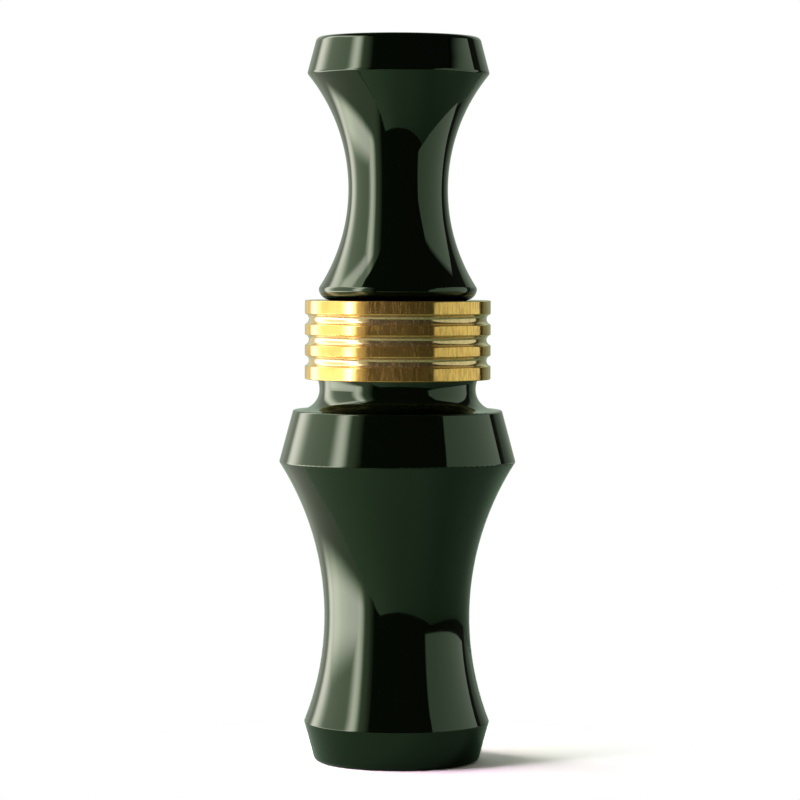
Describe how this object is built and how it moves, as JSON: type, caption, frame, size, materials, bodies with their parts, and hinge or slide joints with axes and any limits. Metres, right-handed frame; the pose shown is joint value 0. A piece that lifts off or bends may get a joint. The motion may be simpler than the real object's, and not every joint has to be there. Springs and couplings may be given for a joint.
{
  "type": "duck call",
  "caption": "Turned acrylic duck call with a grooved brass band: waisted barrel, flared insert, and a drop-in tone board whose reeds and O-ring stem pull out of the bore.",
  "frame": {"origin": "centre of the mouthpiece's end face, on the call's axis", "axes": "+Z along the axis, from the mouthpiece to the exhaust end; -Y is the side that the reeds face"},
  "size_m": [0.0384, 0.0384, 0.1174],
  "materials": {
    "acrylic": "polished dark green acrylic",
    "brass": "turned and polished brass",
    "board": "satin ivory acrylic",
    "reed": "frosted polyester film",
    "cork": "composition cork",
    "o_ring": "black nitrile rubber"
  },
  "bodies": {
    "barrel": {"barrel": "acrylic", "band": "brass"},
    "o_rings": {"front_o_ring": "o_ring", "rear_o_ring": "o_ring"},
    "insert": {"insert": "acrylic", "tone_board": "board", "wedge": "cork"},
    "lower_reed": {"lower_reed": "reed"},
    "upper_reed": {"upper_reed": "reed"}
  },
  "joints": [
    {"name": "insert_pull", "type": "slide", "parent": "barrel", "child": "o_rings", "axis": [0, 0, 1], "range_m": [0, 0.07]},
    {"name": "insert_twist", "type": "hinge", "parent": "o_rings", "child": "insert", "pos_m": [0, 0, 0.0749], "axis": [0, 0, 1], "continuous": true},
    {"name": "lower_reed_flex", "type": "hinge", "parent": "insert", "child": "lower_reed", "pos_m": [0, -0.0006, 0.037], "axis": [1, 0, 0], "range_deg": [-2, 4.4], "stiffness_Nm_per_rad": 0.0075, "deforming": ["lower_reed"]},
    {"name": "upper_reed_flex", "type": "hinge", "parent": "insert", "child": "upper_reed", "pos_m": [0, -0.00085, 0.037], "axis": [1, 0, 0], "range_deg": [-2, 4.4], "stiffness_Nm_per_rad": 0.0075, "deforming": ["upper_reed"]}
  ],
  "couplings": [
    {"joint": "upper_reed_flex", "follows": "lower_reed_flex", "ratio": 1}
  ]
}
